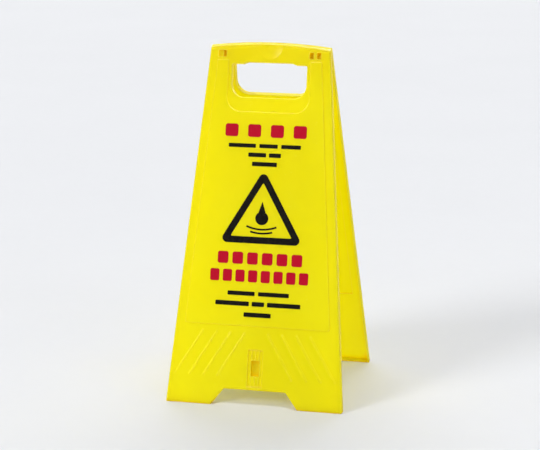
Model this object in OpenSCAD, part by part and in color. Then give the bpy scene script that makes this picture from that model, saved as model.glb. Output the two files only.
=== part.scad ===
/* [Panel] */
// Length of a panel along its slope, from the top corners to the foot
panel_l = 600; // [560:5:640]
// Width across the feet
base_w = 300; // [290:1:320]
// Width across the top corners
top_w = 201; // [198:1:208]
// Height of the arched top edge above its corners
arch_rise = 6.6; // [5:0.1:8]
// Distance from the hinge axis to a panel's outer face
face_h = 12.5; // [12:0.1:13]
// Wall thickness of the moulding
wall = 2.5; // [2:0.1:2.8]
// Radius of the grip's rounded top edge
roll_r = 11.2; // [8:0.1:11.3]
// Radius of the other outer edges
edge_r = 2.5; // [1.5:0.1:2.8]
// Radius of the outer corners, seen from the front
corner_r = 3.5; // [3:0.1:5]

/* [Stand] */
// Lean of each panel from upright when the sign stands open
lean = 13; // [12:0.25:14]
// Distance of the hinge axis below the top corners, along the slope
hinge_s = 15; // [14.5:0.1:15.5]
// Gap from the middle plane to a panel's rim when the sign is folded
fold_gap = 0.5; // [0.3:0.1:0.8]
// Gap from the middle plane to a panel's stop face when the sign is open
stop_gap = 0.3; // [0.2:0.05:0.4]

/* [Hand hole] */
// Width of the hand hole
hole_w = 126.6; // [120:0.2:128]
// Top of the hand hole, below the top corners
hole_top_s = 31.5; // [31:0.1:33]
// Bottom of the hand hole, below the top corners
hole_bottom_s = 86.5; // [80:0.5:90]
// Radius of the hand hole's lower corners
hole_r = 22; // [15:1:25]
// Height of the finger relief in the grip's underside
relief_h = 3; // [2:0.1:3.5]
// Width of the finger relief at its top
relief_w = 74; // [60:1:80]
// Width of the thumb scoop
scoop_w = 42; // [36:1:46]
// Depth of the thumb scoop
scoop_d = 2; // [1.5:0.1:2]

/* [Sign field] */
// Height of the raised sign field
field_h = 1.9; // [1.2:0.1:2]
// Half width of the field at its top and at its bottom
field_x = [88.6, 123.5]; // [80:0.1:128]
// Top and bottom of the field, below the top corners
field_s = [24.5, 466]; // [24:0.5:480]
// Half width of the cut-out round the hand hole
bay_x = 68.5; // [67:0.1:70]
// Bottom of that cut-out, below the top corners
bay_s = 110; // [100:1:115]

/* [Foot] */
// Width of the notch between the feet, at the floor and at its top
notch_w = [148, 106]; // [80:1:160]
// Height of the notch along the slope
notch_h = 28; // [20:1:32]
// Thickness of the sole along the slope
sole_t = 5.5; // [5:0.1:7]

/* [Hinge] */
// Radius of the hinge pins
pin_r = 2.5; // [2:0.1:2.8]
// Radial running clearance of the pins
pin_fit = 0.05; // [0.02:0.01:0.1]
// Outer radius of the hinge knuckles
knuckle_r = 5.5; // [5:0.1:5.8]
// Middle of the hinge, from the panel's centre line
hinge_x = 76.15; // [76:0.05:76.3]
// Width of the single middle knuckle
tongue_w = 4.9; // [4:0.1:5.2]
// Outside width of a pair of knuckles
pair_w = 18.9; // [18:0.1:19.5]
// Gap between neighbouring knuckles
knuckle_gap = 0.3; // [0.2:0.05:0.5]
// Height of the windows in front of the hinge
window_h = 10.5; // [9:0.1:11]

/* [Catch] */
// Width and height of the recess round the catch
recess = [24, 62]; // [20:1:66]
// Depth of that recess
recess_d = 2; // [1.5:0.1:2.2]
// Width and height of the catch window
catch_window = [14, 26]; // [12:1:28]
// Distance of the catch window's middle below the top corners
catch_s = 535.5; // [534:0.5:537]
// Width, height and reach of the catch tongue
tongue = [4.2, 7, 5.5]; // [3:0.1:8]
// Clearance round the tongue in the other panel's slot
tongue_gap = 0.6; // [0.4:0.1:0.8]

/* [Hidden] */
$fn = 64;

yellow = [0.93, 0.86, 0.1];
black = [0.06, 0.05, 0.05];
red = [0.74, 0.02, 0.14];

// A panel is drawn flat: X across, Y up its slope from the hinge axis, Z out through its outer face.
function up(s) = hinge_s - s;
side_slope = (base_w - top_w) / 2 / panel_l;
side_angle = atan(side_slope);
function half_w(s) = top_w / 2 + side_slope * s;

arch_r = (pow(top_w / 2, 2) + pow(arch_rise, 2)) / (2 * arch_rise);
arch_c = [0, up(-arch_rise) - arch_r];
hinge_z = -up(panel_l) * cos(lean) - face_h * sin(lean);
field_top = face_h + field_h;
margin = 1;      // how far a cutting shape runs past what it cuts
crease = 0.02;   // how much an arc's middle is moved so that the arc crosses a face instead of touching it
reach = 400;     // longer than any stretch that a half space cuts

front_outline = [
    [-half_w(panel_l), up(panel_l)],
    [half_w(panel_l), up(panel_l)],
    [half_w(-20), up(-20)],
    [-half_w(-20), up(-20)]
];
hole_outline = [
    [-hole_w / 2, up(hole_bottom_s)],
    [hole_w / 2, up(hole_bottom_s)],
    [hole_w / 2, up(hole_top_s)],
    [-hole_w / 2, up(hole_top_s)]
];
hole_radii = [hole_r, hole_r, 3, 3];
notch_s = panel_l - notch_h;
notch_slope = (notch_w[0] - notch_w[1]) / 2 / notch_h;
function notch_half_w(s) = notch_w[1] / 2 + notch_slope * (s - notch_s);
notch_outline = [
    [notch_half_w(panel_l + 10), up(panel_l + 10)],
    [notch_w[1] / 2, up(notch_s)],
    [-notch_w[1] / 2, up(notch_s)],
    [-notch_half_w(panel_l + 10), up(panel_l + 10)]
];
notch_radii = [0, 5, 5, 0];
field_outline = [
    [-field_x[1], up(field_s[1])],
    [field_x[1], up(field_s[1])],
    [field_x[0], up(field_s[0])],
    [-field_x[0], up(field_s[0])]
];
field_radii = [5, 5, 2, 2];
bay_outline = [
    [-bay_x, up(bay_s)],
    [bay_x, up(bay_s)],
    [bay_x, up(-20)],
    [-bay_x, up(-20)]
];
bay_radii = [23, 23, 0, 0];

// ---- corners of a convex outline whose points run anticlockwise ----
function before(p, i) = p[i] - p[(i + len(p) - 1) % len(p)];
function after(p, i) = p[(i + 1) % len(p)] - p[i];
function heading(v) = atan2(v[1], v[0]);
function turn(p, i) = acos(before(p, i) * after(p, i) / norm(before(p, i)) / norm(after(p, i)));
function tangent_l(p, i, r) = r * tan(turn(p, i) / 2);

// An outline with true arcs at its corners
module rounded(points, radii) {
    difference() {
        polygon(points);
        for (i = [0 : len(points) - 1])
            if (radii[i] > 0)
                translate(points[i])
                    rotate(heading(before(points, i)))
                        corner_waste(tangent_l(points, i, radii[i]), turn(points, i), radii[i]);
    }
}

// Drawn with the corner at the origin, reached along +X and left at angle a. The arc crosses both sides
// at a slight angle, so that it is tangent to neither.
module corner_waste(t, a, r) {
    c = [-t, r] * (1 - crease / r);
    far = 2 * norm(c);
    difference() {
        polygon([c, c - [0, far], -1.5 * c, c + far * [sin(a), -cos(a)]]);
        translate(c) circle(r);
    }
}

// What a rounded edge takes away, in section: X into the material, Y down from the face
module edge_waste(r) {
    difference() {
        translate([-margin, -margin]) square(r + margin);
        translate([r, r]) circle(r);
    }
}

// The same section with Y up. inward is 1 where the material lies towards +X, and -1 towards -X.
module edge_section(r, inward) {
    if (inward > 0)
        mirror([0, 1]) edge_waste(r);
    else
        rotate(180) edge_waste(r);
}

// Rounds a rim's straight edges where they meet its face at height z
module round_rim(points, r, z, edges) {
    for (i = edges)
        translate([points[i][0], points[i][1], z])
            rotate([0, 0, heading(after(points, i))])
                translate([-margin, 0, 0])
                    straight_waste(norm(after(points, i)) + 2 * margin, r, 1);
}

// Rounds a hole's edges where they meet a face at height z, and its corners with them
module round_hole(points, radii, r, z, edges) {
    for (i = edges) {
        j = (i + 1) % len(points);
        t = [tangent_l(points, i, radii[i]), tangent_l(points, j, radii[j])];
        translate([points[i][0], points[i][1], z])
            rotate([0, 0, heading(after(points, i))])
                translate([t[0], 0, 0])
                    straight_waste(norm(after(points, i)) - t[0] - t[1], r, -1);
        if (radii[j] > 0)
            translate([points[j][0], points[j][1], z])
                rotate([0, 0, heading(before(points, j))])
                    translate([-t[1], radii[j], 0])
                        rotate([0, 0, -90])
                            rotate_extrude(angle = turn(points, j))
                                translate([radii[j], 0]) edge_section(r, 1);
    }
}

module straight_waste(length, r, inward) {
    rotate([90, 0, 90]) linear_extrude(length) edge_section(r, inward);
}

// ---- the panel's outside ----
side_n = [cos(side_angle), sin(side_angle)];
corner_turn =
    asin((side_n * [top_w / 2, up(0)] - corner_r - side_n * arch_c) / (arch_r - corner_r)) - side_angle;
arch_n = [sin(corner_turn), cos(corner_turn)];
corner_c = arch_c + (arch_r - corner_r) * arch_n;

module top_corner_waste() {
    difference() {
        polygon([
            corner_c,
            corner_c + 3 * corner_r * side_n,
            corner_c + 4 * corner_r * (side_n + arch_n),
            corner_c + 3 * corner_r * arch_n
        ]);
        translate(corner_c) circle(corner_r);
    }
}

module face_shape() {
    difference() {
        intersection() {
            rounded(front_outline, [corner_r, corner_r, 0, 0]);
            translate(arch_c) circle(arch_r);
        }
        top_corner_waste();
        mirror([1, 0]) top_corner_waste();
    }
}

// The grip's rounded top, along the arch
module roll_waste() {
    span = 20;
    translate([arch_c[0], arch_c[1], face_h])
        rotate([0, 0, 90 - span / 2])
            rotate_extrude(angle = span)
                translate([arch_r, 0])
                    edge_section(roll_r, -1);
}

// Everything beyond the plane where the two panels meet when the sign stands open
module stop_waste() {
    translate([0, 0, stop_gap / cos(lean)])
        rotate([lean, 0, 0])
            translate([-reach / 2, -hinge_s, -face_h])
                cube([reach, 4 * hinge_s, face_h]);
}

module blank() {
    difference() {
        translate([0, 0, fold_gap]) linear_extrude(face_h - fold_gap) face_shape();
        roll_waste();
        round_rim(front_outline, edge_r, face_h, [0, 1, 3]);
        stop_waste();
    }
}

// ---- the sign field ----
field_edge_r = 1.8;

module field() {
    difference() {
        translate([0, 0, face_h - wall / 2])
            linear_extrude(field_h + wall / 2)
                difference() {
                    rounded(field_outline, field_radii);
                    rounded(bay_outline, bay_radii);
                }
        round_rim(field_outline, field_edge_r, field_top, [0, 1, 2, 3]);
        round_hole(bay_outline, bay_radii, field_edge_r, field_top, [3, 0, 1]);
    }
}

// ---- the inside of the moulding ----
inner_z = face_h - wall;
side_inset = wall / cos(side_angle);
roll_inset = 9;    // from the arch to the inside, so that the rolled edge keeps its wall
relief_ramp = 8;

module cavity_shape() {
    difference() {
        intersection() {
            polygon([
                [-half_w(panel_l - sole_t) + side_inset, up(panel_l - sole_t)],
                [half_w(panel_l - sole_t) - side_inset, up(panel_l - sole_t)],
                [half_w(-20) - side_inset, up(-20)],
                [-half_w(-20) + side_inset, up(-20)]
            ]);
            translate(arch_c) circle(arch_r - roll_inset);
        }
        hole_guard();
        notch_guard();
        catch_guard();
    }
}

module hole_guard() {
    x = hole_w / 2 + wall;
    low = up(hole_bottom_s) - wall;
    high = up(hole_top_s) + relief_h + wall;
    rounded([[-x, low], [x, low], [x, high], [-x, high]], [hole_r + wall, hole_r + wall, 0, 0]);
}

module notch_guard() {
    dx = wall / sin(atan(1 / notch_slope));
    low_s = panel_l + 10;
    polygon([
        [notch_half_w(low_s) + dx, up(low_s)],
        [notch_half_w(notch_s - wall) + dx, up(notch_s - wall)],
        [-notch_half_w(notch_s - wall) - dx, up(notch_s - wall)],
        [-notch_half_w(low_s) - dx, up(low_s)]
    ]);
}

module catch_guard() {
    translate([0, box_y])
        square([catch_window[0] + 2 * box_wall, box_h + 2 * box_wall], center = true);
}

// The back of the sign field, which keeps the wall even
module field_back() {
    inset = 2;
    x = [field_x[0] - inset, field_x[1] - inset];
    low = up(field_s[1] - inset);
    high = up(field_s[0] + inset);
    difference() {
        polygon([[-x[1], low], [x[1], low], [x[0], high], [-x[0], high]]);
        translate([0, -inset]) rounded(bay_outline, bay_radii);
        square([2 * (bay_x + inset), 2 * (bay_s - hinge_s)], center = true);
    }
}

module cavity() {
    translate([0, 0, -margin]) linear_extrude(inner_z + margin) cavity_shape();
    translate([0, 0, inner_z - margin])
        linear_extrude(field_h + margin)
            intersection() {
                cavity_shape();
                field_back();
            }
}

// ---- openings and grip ----
module hand_hole() {
    translate([0, 0, -margin]) linear_extrude(face_h + 2 * margin) {
        rounded(hole_outline, hole_radii);
        polygon([
            [-relief_w / 2 - relief_ramp, up(hole_top_s) - margin],
            [relief_w / 2 + relief_ramp, up(hole_top_s) - margin],
            [relief_w / 2 + relief_ramp, up(hole_top_s)],
            [relief_w / 2, up(hole_top_s) + relief_h],
            [-relief_w / 2, up(hole_top_s) + relief_h],
            [-relief_w / 2 - relief_ramp, up(hole_top_s)]
        ]);
    }
    round_hole(hole_outline, hole_radii, 1.5, face_h, [3, 0, 1]);
}

module notch() {
    translate([0, 0, -margin]) linear_extrude(face_h + 2 * margin) rounded(notch_outline, notch_radii);
    round_hole(notch_outline, notch_radii, edge_r, face_h, [0, 1, 2]);
}

scoop_s = 2;

module thumb_scoop() {
    ball_r = (pow(scoop_w / 2, 2) + pow(scoop_d, 2)) / (2 * scoop_d);
    translate([0, up(scoop_s), face_h - scoop_d + ball_r]) sphere(ball_r);
}

// Thickens the wall behind the scoop
module scoop_pad() {
    translate([0, 0, inner_z - scoop_d])
        linear_extrude(scoop_d + wall / 4)
            intersection() {
                translate([0, up(scoop_s)]) circle(scoop_w / 2);
                translate(arch_c) circle(arch_r - roll_inset + 1);
            }
}

// Shallow slanted ribs on the lower face, mirrored about the middle: round bars sunk almost to their tops
rib_slant = 31;
rib_pitch = 24;
rib_first_x = 20;
rib_s = [478, 550];
rib_r = 4;
rib_rise = 0.8;

module slanted_ribs() {
    length = (rib_s[1] - rib_s[0]) / cos(rib_slant);
    for (side = [0, 1], i = [0 : 3])
        mirror([side, 0, 0])
            translate([rib_first_x + i * rib_pitch, up(rib_s[0]), face_h + rib_rise - rib_r])
                rotate([0, 0, rib_slant]) {
                    rotate([90, 0, 0]) cylinder(r = rib_r, h = length);
                    sphere(rib_r);
                    translate([0, -length, 0]) sphere(rib_r);
                }
}

// ---- hinge ----
window_gap = 0.2;
web_h = 7;
blind_t = 1.5;

module knuckle(x, w) {
    translate([x, 0, 0]) rotate([0, 90, 0]) cylinder(r = knuckle_r, h = w);
    translate([x, -web_h, 0]) cube([w, 2 * web_h, inner_z + wall / 4]);
}

pair_x = hinge_x - pair_w / 2;
knuckle_w = (pair_w - tongue_w) / 2 - knuckle_gap;

// The single knuckle, on the panel's right
module tongue_knuckle() {
    knuckle(hinge_x - tongue_w / 2, tongue_w);
}

// The pair that goes round the other panel's single knuckle, on the left
module pair_knuckles() {
    mirror([1, 0, 0]) {
        knuckle(pair_x, knuckle_w);
        knuckle(pair_x + pair_w - knuckle_w, knuckle_w);
    }
}

module pin_bore(from, to) {
    translate([from, 0, 0]) rotate([0, 90, 0]) cylinder(r = pin_r + pin_fit, h = to - from);
}

module hinge_bores() {
    pin_bore(pair_x - margin, pair_x + pair_w - blind_t);
    mirror([1, 0, 0]) pin_bore(pair_x - margin, pair_x + pair_w - blind_t);
}

module window(x, w) {
    translate([x, -window_h / 2, inner_z]) cube([w, window_h, wall + margin]);
}

module hinge_windows() {
    bar = tongue_w / 2 + window_gap;
    outer = pair_w / 2 + window_gap;
    window(hinge_x - outer, outer - bar);
    window(hinge_x + bar, outer - bar);
    mirror([1, 0, 0]) window(hinge_x - bar, bar + outer + 1.5);
}

// ---- catch ----
box_wall = 1.8;
box_floor = fold_gap + 2;
recess_z = face_h - recess_d;
recess_outline = [
    [-recess[0] / 2, up(catch_s) - recess[1] / 2],
    [recess[0] / 2, up(catch_s) - recess[1] / 2],
    [recess[0] / 2, up(catch_s) + recess[1] / 2],
    [-recess[0] / 2, up(catch_s) + recess[1] / 2]
];
recess_radii = [1.5, 1.5, 1.5, 1.5];
flute_pitch = 6.3;

// The box behind the window runs on above it, where the other panel's tongue enters out of sight
tongue_room = 10;
box_h = catch_window[1] + tongue_room;
box_y = up(catch_s) + tongue_room / 2;
tongue_x = catch_window[0] / 4;
tongue_y = up(catch_s) + catch_window[1] / 2 + tongue_room / 2;

// A block from z0 to z1, with its middle at [x, y]
module catch_block(x, y, size, z0, z1) {
    translate([x - size[0] / 2, y - size[1] / 2, z0]) cube([size[0], size[1], z1 - z0]);
}

module catch_solid() {
    pad = [recess[0] + 2 * box_wall, recess[1] + 2 * box_wall - 6];
    catch_block(0, up(catch_s), pad, inner_z - recess_d, inner_z + wall / 4);
    catch_block(-tongue_x, tongue_y, tongue, fold_gap - tongue[2], box_floor);
}

module catch_hollow() {
    slot = [tongue[0] + 2 * tongue_gap, tongue[1] + 2 * tongue_gap];
    difference() {
        translate([0, 0, recess_z]) linear_extrude(recess_d + margin) rounded(recess_outline, recess_radii);
        for (i = [-1 : 1])
            translate([i * flute_pitch, up(catch_s) + recess[1] / 2, recess_z - 0.4])
                rotate([90, 0, 0]) cylinder(r = 1.1, h = recess[1]);
    }
    round_hole(recess_outline, recess_radii, 1.2, face_h, [0, 1, 2, 3]);
    catch_block(0, up(catch_s), catch_window, box_floor, face_h);
    catch_block(0, box_y, [catch_window[0], box_h], box_floor, recess_z - wall);
    catch_block(tongue_x, tongue_y, slot, -margin, box_floor + margin);
}

// ---- a whole panel, and where it stands ----
module panel() {
    difference() {
        union() {
            difference() {
                union() {
                    blank();
                    field();
                    slanted_ribs();
                }
                cavity();
            }
            scoop_pad();
            tongue_knuckle();
            pair_knuckles();
            catch_solid();
        }
        hand_hole();
        notch();
        thumb_scoop();
        hinge_windows();
        hinge_bores();
        catch_hollow();
    }
}

module leaning() {
    translate([0, 0, hinge_z]) rotate([90 - lean, 0, 0]) children();
}

module turned() {
    rotate([0, 0, 180]) children();
}

// Cuts the soles flat on the floor
module standing_panel() {
    difference() {
        leaning() panel();
        translate([-reach / 2, -reach / 2, -reach]) cube([reach, reach, reach]);
    }
}

module front_panel() {
    color(yellow) standing_panel();
}

module rear_panel() {
    color(yellow) turned() standing_panel();
}

// ---- hinge pins ----
module hinge_pin() {
    head_r = 3.8;
    head_t = 1.2;
    head_gap = 0.4;
    tip_gap = 0.3;
    start = pair_x - head_gap;
    translate([start, 0, hinge_z]) rotate([0, 90, 0])
        cylinder(r = pin_r, h = pair_w + head_gap - blind_t - tip_gap);
    translate([start - head_t, 0, hinge_z]) rotate([0, 90, 0]) cylinder(r = head_r, h = head_t);
}

module hinge_pin_right() {
    color(yellow) hinge_pin();
}

module hinge_pin_left() {
    color(yellow) mirror([1, 0, 0]) hinge_pin();
}

// ---- printed layer: plain bars where wording would stand, and a triangle with a drop over ripples ----
print_t = 0.25;

module bar(x0, x1, s, h) {
    w = x1 - x0;
    r = min(h, w) / 5;
    translate([x0, up(s) - h / 2])
        rounded([[0, 0], [w, 0], [w, h], [0, h]], [r, r, r, r]);
}

module block_row(count, pitch, w, s, h) {
    for (i = [0 : count - 1]) {
        x = (i - (count - 1) / 2) * pitch;
        bar(x - w / 2, x + w / 2, s, h);
    }
}

module red_shapes() {
    block_row(4, 38.5, 22, 141.5, 21);
    block_row(6, 25, 18, 353, 20);
    block_row(8, 21.5, 15.5, 382.5, 20);
}

module black_rows() {
    for (b = [[-62, -16], [-10, 21], [27, 60]]) bar(b[0], b[1], 166.5, 6.5);
    for (b = [[-28, 2], [7, 27]]) bar(b[0], b[1], 181.5, 7);
    bar(-21, 21, 196.5, 7);
    for (b = [[-52, -6], [0, 52]]) bar(b[0], b[1], 411.5, 7);
    for (b = [[-72, -15], [-10, 11], [16, 72]]) bar(b[0], b[1], 428.5, 7.5);
    bar(-23, 23, 446.5, 7.5);
}

triangle_s = 287;
triangle_in_r = 41;
triangle_band = 11;

function triangle_points(in_r) = [
    [-in_r * sqrt(3), up(triangle_s) - in_r],
    [in_r * sqrt(3), up(triangle_s) - in_r],
    [0, up(triangle_s) + 2 * in_r]
];

module warning_triangle() {
    difference() {
        rounded(triangle_points(triangle_in_r), [8, 8, 8]);
        rounded(triangle_points(triangle_in_r - triangle_band), [1.5, 1.5, 1.5]);
    }
}

module drop() {
    drop_r = 11;
    flank = 9;
    tip = 28;
    translate([0, up(286)]) {
        circle(drop_r);
        polygon([[-flank, 0], [flank, 0], [0, tip]]);
    }
}

// A line of even width that sags in the middle
module ripple(s, half_l, line) {
    ripple_r = 70;
    spread = asin(half_l / ripple_r);
    translate([0, up(s) + ripple_r]) {
        intersection() {
            difference() {
                circle(ripple_r);
                circle(ripple_r - line);
            }
            polygon([
                [0, 0],
                2 * ripple_r * [-sin(spread), -cos(spread)],
                2 * ripple_r * [sin(spread), -cos(spread)]
            ]);
        }
    }
}

module black_shapes() {
    black_rows();
    warning_triangle();
    drop();
    ripple(306, 26, 3);
    ripple(312.5, 19, 3);
}

module printed() {
    leaning() translate([0, 0, field_top]) linear_extrude(print_t) children();
}

module front_print_black() {
    color(black) printed() black_shapes();
}

module front_print_red() {
    color(red) printed() red_shapes();
}

module rear_print_black() {
    color(black) turned() printed() black_shapes();
}

module rear_print_red() {
    color(red) turned() printed() red_shapes();
}

front_panel();
rear_panel();
hinge_pin_left();
hinge_pin_right();
front_print_black();
front_print_red();
rear_print_black();
rear_print_red();
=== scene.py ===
"""A folding wet floor sign of yellow moulded plastic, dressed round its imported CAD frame."""

import math

import bpy
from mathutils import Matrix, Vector

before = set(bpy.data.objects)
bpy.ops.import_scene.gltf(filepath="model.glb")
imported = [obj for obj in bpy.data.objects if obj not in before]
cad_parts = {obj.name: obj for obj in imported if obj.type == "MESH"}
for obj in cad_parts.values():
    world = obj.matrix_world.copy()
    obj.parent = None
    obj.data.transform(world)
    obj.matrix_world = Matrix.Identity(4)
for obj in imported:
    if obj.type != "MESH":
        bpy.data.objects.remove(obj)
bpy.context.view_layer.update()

MM = 0.001

# Camera: the place and angle that the photograph was taken from
CAMERA_PLACE = (0.6161, -2.7824, 0.9778)
CAMERA_TURN = (math.radians(76.19), 0.0, math.radians(12.54))
CAMERA_LENS = 115.2
CAMERA_SENSOR = 36.0

LIGHT_BOUNCES = 10  # light goes deep into the hollow, see-through mouldings

# Light from all round: its strength is the sum of a part that rises with the height of its
# direction and a part that rises from the front to the back
AIR_HEIGHTS = (0.1, 0.9)
AIR_BY_HEIGHT = (0.12, 0.46)
AIR_DEPTHS = (-0.3, 0.7)
AIR_BY_DEPTH = (0.0, 0.22)
AIR_SEEN = 0.92
AIR_COLOUR = (0.97, 0.98, 1.0, 1.0)

# Floor
FLOOR_RADIUS = 30.0
FLOOR_SIDES = 96

# Colours, linear. A deep orange tone is painted into recesses as shade, and a pale one along
# rounded edges as a painted highlight
YELLOW = (0.96, 0.99, 0.014, 1.0)
YELLOW_DRIFT = (0.965, 0.97, 0.008, 1.0)
YELLOW_RECESS_SHADE = (1.0, 0.76, 0.0, 1.0)
YELLOW_EDGE_HIGHLIGHT = (1.0, 1.0, 0.24, 1.0)
# The colour of the light let through the walls, with a painted shade of deeper orange in
# recesses
GLOW = (0.985, 0.89, 0.0, 1.0)
GLOW_RECESS_SHADE = (1.0, 0.76, 0.0, 1.0)
BLACK_INK = (0.0015, 0.001, 0.001, 1.0)
BLACK_FADED = (0.02, 0.018, 0.012, 1.0)
RED_INK = (0.47, 0.0, 0.018, 1.0)
RED_FADED = (0.5, 0.004, 0.02, 1.0)
PAPER_WHITE = (0.655, 0.663, 0.682, 1.0)
PAPER_SHADE = (0.635, 0.643, 0.662, 1.0)

# Yellow plastic
SEE_THROUGH = 0.62
RECESS_REACH = 16 * MM
EDGE_REACH = 2.2 * MM
# How strongly the painted highlight along rounded edges shows: an even part and a part broken up
# by the scuffs
EDGE_HIGHLIGHT_EVEN = 0.5
EDGE_HIGHLIGHT_SCUFFED = 0.4
FLOW_STRETCH = (9.0, 9.0, 1.0)
SATIN = (0.17, 0.25)
SCUFF_ROUGHNESS = 0.06
PEEL_DEPTH = 0.012 * MM
GRAIN_DEPTH = 0.02 * MM
PLASTIC_SPECULAR = 0.5

# Ink and paper
INK_SATIN = (0.38, 0.5)
INK_DEPTH = 0.015 * MM
INK_SPECULAR = 0.1
PAPER_MATT = (0.8, 0.95)
PAPER_DEPTH = 0.03 * MM
PAPER_SPECULAR = 0.2


# ---------------------------------------------------------------- node helpers
class Graph:
    """The node tree of a material or a world, with short calls to add and join nodes."""

    def __init__(self, owner):
        owner.use_nodes = True
        self.nodes = owner.node_tree.nodes
        self.links = owner.node_tree.links

    def node(self, kind, **settings):
        made = self.nodes.new(kind)
        for key, value in settings.items():
            setattr(made, key, value)
        return made

    def join(self, source, target):
        self.links.new(source, target)

    def feed(self, socket, value):
        """Sets a socket to a number or colour, or joins it to an output."""
        if isinstance(value, bpy.types.NodeSocket):
            self.join(value, socket)
        else:
            socket.default_value = value

    def span(self, value, low, high, to_low=0.0, to_high=1.0):
        """Maps low..high to to_low..to_high, smoothly and with ends held."""
        made = self.node("ShaderNodeMapRange", interpolation_type="SMOOTHSTEP")
        self.feed(made.inputs["Value"], value)
        made.inputs["From Min"].default_value = low
        made.inputs["From Max"].default_value = high
        made.inputs["To Min"].default_value = to_low
        made.inputs["To Max"].default_value = to_high
        return made.outputs["Result"]

    def math(self, how, a, b):
        made = self.node("ShaderNodeMath", operation=how)
        self.feed(made.inputs[0], a)
        self.feed(made.inputs[1], b)
        return made.outputs["Value"]

    def rest(self, share):
        """What is left of 1 when share is taken from it."""
        return self.math("SUBTRACT", 1.0, share)

    def blend(self, share, first, second):
        """A shader that is first at share 0 and second at share 1."""
        made = self.node("ShaderNodeMixShader")
        self.feed(made.inputs["Fac"], share)
        self.join(first, made.inputs[1])
        self.join(second, made.inputs[2])
        return made.outputs["Shader"]


class Surface(Graph):
    """A material's node tree, with patterns that are fixed to the object."""

    def __init__(self, name):
        self.material = bpy.data.materials.new(name)
        super().__init__(self.material)
        self.shader = self.nodes["Principled BSDF"]
        self.place = self.node("ShaderNodeTexCoord").outputs["Object"]

    def stretched(self, scale):
        mapping = self.node("ShaderNodeMapping")
        mapping.inputs["Scale"].default_value = scale
        self.join(self.place, mapping.inputs["Vector"])
        return mapping.outputs["Vector"]

    def noise(self, scale, detail=3.0, rough=0.5, at=None):
        made = self.node("ShaderNodeTexNoise")
        self.join(at or self.place, made.inputs["Vector"])
        made.inputs["Scale"].default_value = scale
        made.inputs["Detail"].default_value = detail
        made.inputs["Roughness"].default_value = rough
        return made.outputs["Fac"]

    def cells(self, scale, smoothness=0.6):
        made = self.node("ShaderNodeTexVoronoi", feature="SMOOTH_F1")
        self.join(self.place, made.inputs["Vector"])
        made.inputs["Scale"].default_value = scale
        made.inputs["Smoothness"].default_value = smoothness
        return made.outputs["Distance"]

    def mix(self, share, a, b):
        made = self.node("ShaderNodeMix", data_type="RGBA")
        self.feed(made.inputs["Factor"], share)
        self.feed(made.inputs["A"], a)
        self.feed(made.inputs["B"], b)
        return made.outputs["Result"]

    def closeness(self, distance, inside=False):
        """1 where other surface is near (or, inside, where the solid is thin), 0 in the open."""
        made = self.node("ShaderNodeAmbientOcclusion", samples=4, inside=inside)
        made.inputs["Distance"].default_value = distance
        return self.rest(made.outputs["AO"])

    def bump(self, height, depth, after=None):
        made = self.node("ShaderNodeBump")
        made.inputs["Strength"].default_value = 1.0
        made.inputs["Distance"].default_value = depth
        self.join(height, made.inputs["Height"])
        if after:
            self.join(after, made.inputs["Normal"])
        return made.outputs["Normal"]

    def finish(self, colour, roughness, normal, specular):
        shader = self.shader.inputs
        self.feed(shader["Base Color"], colour)
        self.feed(shader["Roughness"], roughness)
        self.join(normal, shader["Normal"])
        shader["Specular IOR Level"].default_value = specular
        return self.material

    def let_light_through(self, share, colour, normal):
        """Part of the light goes through each wall, as it does in thin unfilled plastic."""
        glow = self.node("ShaderNodeBsdfTranslucent")
        self.feed(glow.inputs["Color"], colour)
        self.join(normal, glow.inputs["Normal"])
        blend = self.blend(share, self.shader.outputs["BSDF"], glow.outputs["BSDF"])
        self.join(blend, self.nodes["Material Output"].inputs["Surface"])


# ---------------------------------------------------------------- materials
def yellow_plastic():
    """Satin injection-moulded polypropylene: fine mould grain, faint flow marks, painted shade
    in recesses and a painted highlight along rounded edges.
    """
    s = Surface("moulded_yellow")
    clouds = s.noise(9.0, detail=4.0)
    flow = s.noise(7.0, detail=5.0, rough=0.6, at=s.stretched(FLOW_STRETCH))
    grain = s.noise(1500.0, detail=2.0)
    peel = s.cells(420.0)
    scuffs = s.span(s.noise(160.0, detail=6.0, rough=0.7), 0.5, 0.72)

    # The painted recess shade leaves out the insides of the walls, which count as open, so that
    # light keeps its colour on its way through
    in_wall = s.node("ShaderNodeNewGeometry").outputs["Backfacing"]
    # Painted shade: recesses are picked out by nearby surface, to be tinted deep orange as the
    # hollows lie in shade
    recess_shade = s.math("MULTIPLY", s.span(s.closeness(RECESS_REACH), 0.32, 0.55), s.rest(in_wall))
    # Painted highlight: rounded convex edges, found where the solid is thin, are made paler
    edge = s.span(s.closeness(EDGE_REACH, inside=True), 0.12, 0.4)
    edge = s.math("MULTIPLY", edge, s.rest(recess_shade))
    edge_highlight_share = s.math("ADD", EDGE_HIGHLIGHT_EVEN, s.math("MULTIPLY", scuffs, EDGE_HIGHLIGHT_SCUFFED))

    tone = s.mix(s.span(clouds, 0.3, 0.7), YELLOW, YELLOW_DRIFT)
    # Painted shade: the tone turns deep orange in recesses
    tone = s.mix(recess_shade, tone, YELLOW_RECESS_SHADE)
    # Painted highlight: a pale line along rounded edges
    tone = s.mix(s.math("MULTIPLY", edge, edge_highlight_share), tone, YELLOW_EDGE_HIGHLIGHT)
    rough = s.span(flow, 0.25, 0.75, *SATIN)
    rough = s.math("ADD", rough, s.math("MULTIPLY", scuffs, SCUFF_ROUGHNESS))
    normal = s.bump(peel, PEEL_DEPTH)
    normal = s.bump(grain, GRAIN_DEPTH, after=normal)
    s.finish(tone, rough, normal, PLASTIC_SPECULAR)
    # The light let through also takes the painted recess shade
    s.let_light_through(SEE_THROUGH, s.mix(recess_shade, GLOW, GLOW_RECESS_SHADE), normal)
    return s.material


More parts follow.
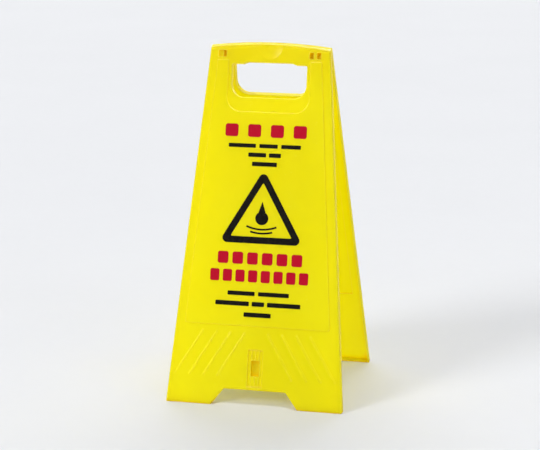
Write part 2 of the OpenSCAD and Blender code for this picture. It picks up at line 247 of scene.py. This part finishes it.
def ink(name, colour, faded):
    """A screen-printed ink film: near-solid colour with a fine mesh of thinner dots."""
    s = Surface(name)
    mottle = s.span(s.noise(220.0, detail=5.0, rough=0.65), 0.42, 0.7, 0.0, 0.5)
    speck = s.span(s.noise(1800.0, detail=1.0), 0.66, 0.74, 0.0, 0.35)
    tone = s.mix(s.math("ADD", mottle, speck), colour, faded)
    rough = s.span(s.noise(90.0, detail=4.0), 0.3, 0.7, *INK_SATIN)
    return s.finish(tone, rough, s.bump(s.noise(1200.0), INK_DEPTH), INK_SPECULAR)


def studio_paper():
    """Pale seamless paper, with the faintest tone and tooth."""
    s = Surface("studio_paper")
    tone = s.mix(s.span(s.noise(2.0), 0.3, 0.7, 0.0, 0.4), PAPER_WHITE, PAPER_SHADE)
    rough = s.span(s.noise(40.0), 0.3, 0.7, *PAPER_MATT)
    return s.finish(tone, rough, s.bump(s.noise(900.0), PAPER_DEPTH), PAPER_SPECULAR)


def paint(node, material):
    """Gives a CAD node its finished material."""
    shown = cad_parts[node]
    shown.data.materials.clear()
    shown.data.materials.append(material)


def dress():
    yellow = yellow_plastic()
    black = ink("black_ink", BLACK_INK, BLACK_FADED)
    red = ink("red_ink", RED_INK, RED_FADED)
    for side in ("front", "rear"):
        paint(f"{side}_panel", yellow)
        paint(f"{side}_print_black", black)
        paint(f"{side}_print_red", red)
    for side in ("left", "right"):
        paint(f"hinge_pin_{side}", yellow)


# ---------------------------------------------------------------- studio
def add(name, data):
    """Puts a new object into the scene."""
    made = bpy.data.objects.new(name, data)
    bpy.context.scene.collection.objects.link(made)
    return made


def lay_floor():
    step = 2 * math.pi / FLOOR_SIDES
    ring = [
        (FLOOR_RADIUS * math.cos(i * step), FLOOR_RADIUS * math.sin(i * step), 0.0)
        for i in range(FLOOR_SIDES)
    ]
    mesh = bpy.data.meshes.new("studio_floor")
    mesh.from_pydata(ring, [], [tuple(range(FLOOR_SIDES))])
    mesh.materials.append(studio_paper())
    add("studio_floor", mesh)


def sun(name, source, strength, spread):
    """A soft light from the direction of source, spread degrees wide."""
    light = bpy.data.lights.new(name, "SUN")
    light.energy = strength
    light.angle = math.radians(spread)
    made = add(name, light)
    made.location = source
    made.rotation_euler = (-Vector(source)).to_track_quat("-Z", "Y").to_euler()


def gloss_lamp(name, place, turn, size, watts):
    """A wide lamp overhead that lights nothing but the bright line along rounded edges."""
    light = bpy.data.lights.new(name, "AREA")
    light.shape = "RECTANGLE"
    light.size, light.size_y = size
    light.energy = watts
    made = add(name, light)
    made.location = place
    made.rotation_euler = (0.0, 0.0, math.radians(turn))
    made.visible_camera = False
    made.visible_diffuse = False


def air():
    """Light from all round, dim in front, so that upright faces stay deep in colour."""
    world = bpy.data.worlds.new("studio_air")
    g = Graph(world)
    split = g.node("ShaderNodeSeparateXYZ")
    g.join(g.node("ShaderNodeTexCoord").outputs["Generated"], split.inputs["Vector"])
    by_height = g.span(split.outputs["Z"], *AIR_HEIGHTS, *AIR_BY_HEIGHT)
    by_depth = g.span(split.outputs["Y"], *AIR_DEPTHS, *AIR_BY_DEPTH)

    light, seen = g.nodes["Background"], g.node("ShaderNodeBackground")
    light.inputs["Color"].default_value = AIR_COLOUR
    g.join(g.math("ADD", by_height, by_depth), light.inputs["Strength"])
    seen.inputs["Color"].default_value = AIR_COLOUR
    seen.inputs["Strength"].default_value = AIR_SEEN
    is_seen = g.node("ShaderNodeLightPath").outputs["Is Camera Ray"]
    blend = g.blend(is_seen, light.outputs["Background"], seen.outputs["Background"])
    g.join(blend, g.nodes["World Output"].inputs["Surface"])
    bpy.context.scene.world = world


def studio():
    lay_floor()
    air()
    sun("key_sun", source=(-1.3, -1.5, 1.1), strength=1.5, spread=22.0)
    sun("top_sun", source=(0.1, -0.25, 0.95), strength=1.0, spread=16.0)
    sun("back_sun", source=(-0.3, 1.6, 0.8), strength=1.95, spread=70.0)
    gloss_lamp("right_gloss", (0.46, -0.19, 1.75), turn=-42.0, size=(0.9, 0.45), watts=75.0)
    gloss_lamp("left_gloss", (-0.29, 0.19, 1.75), turn=-12.0, size=(0.9, 0.45), watts=17.0)
    sun("fill_sun", source=(1.6, -1.5, 0.6), strength=0.25, spread=40.0)
    scene = bpy.context.scene
    scene.view_settings.view_transform = "Standard"
    scene.cycles.max_bounces = LIGHT_BOUNCES
    scene.cycles.diffuse_bounces = LIGHT_BOUNCES


def camera():
    lens = bpy.data.cameras.new("camera")
    lens.lens = CAMERA_LENS
    lens.sensor_width = CAMERA_SENSOR
    made = add("camera", lens)
    made.location = CAMERA_PLACE
    made.rotation_euler = CAMERA_TURN
    bpy.context.scene.camera = made


dress()
studio()
camera()
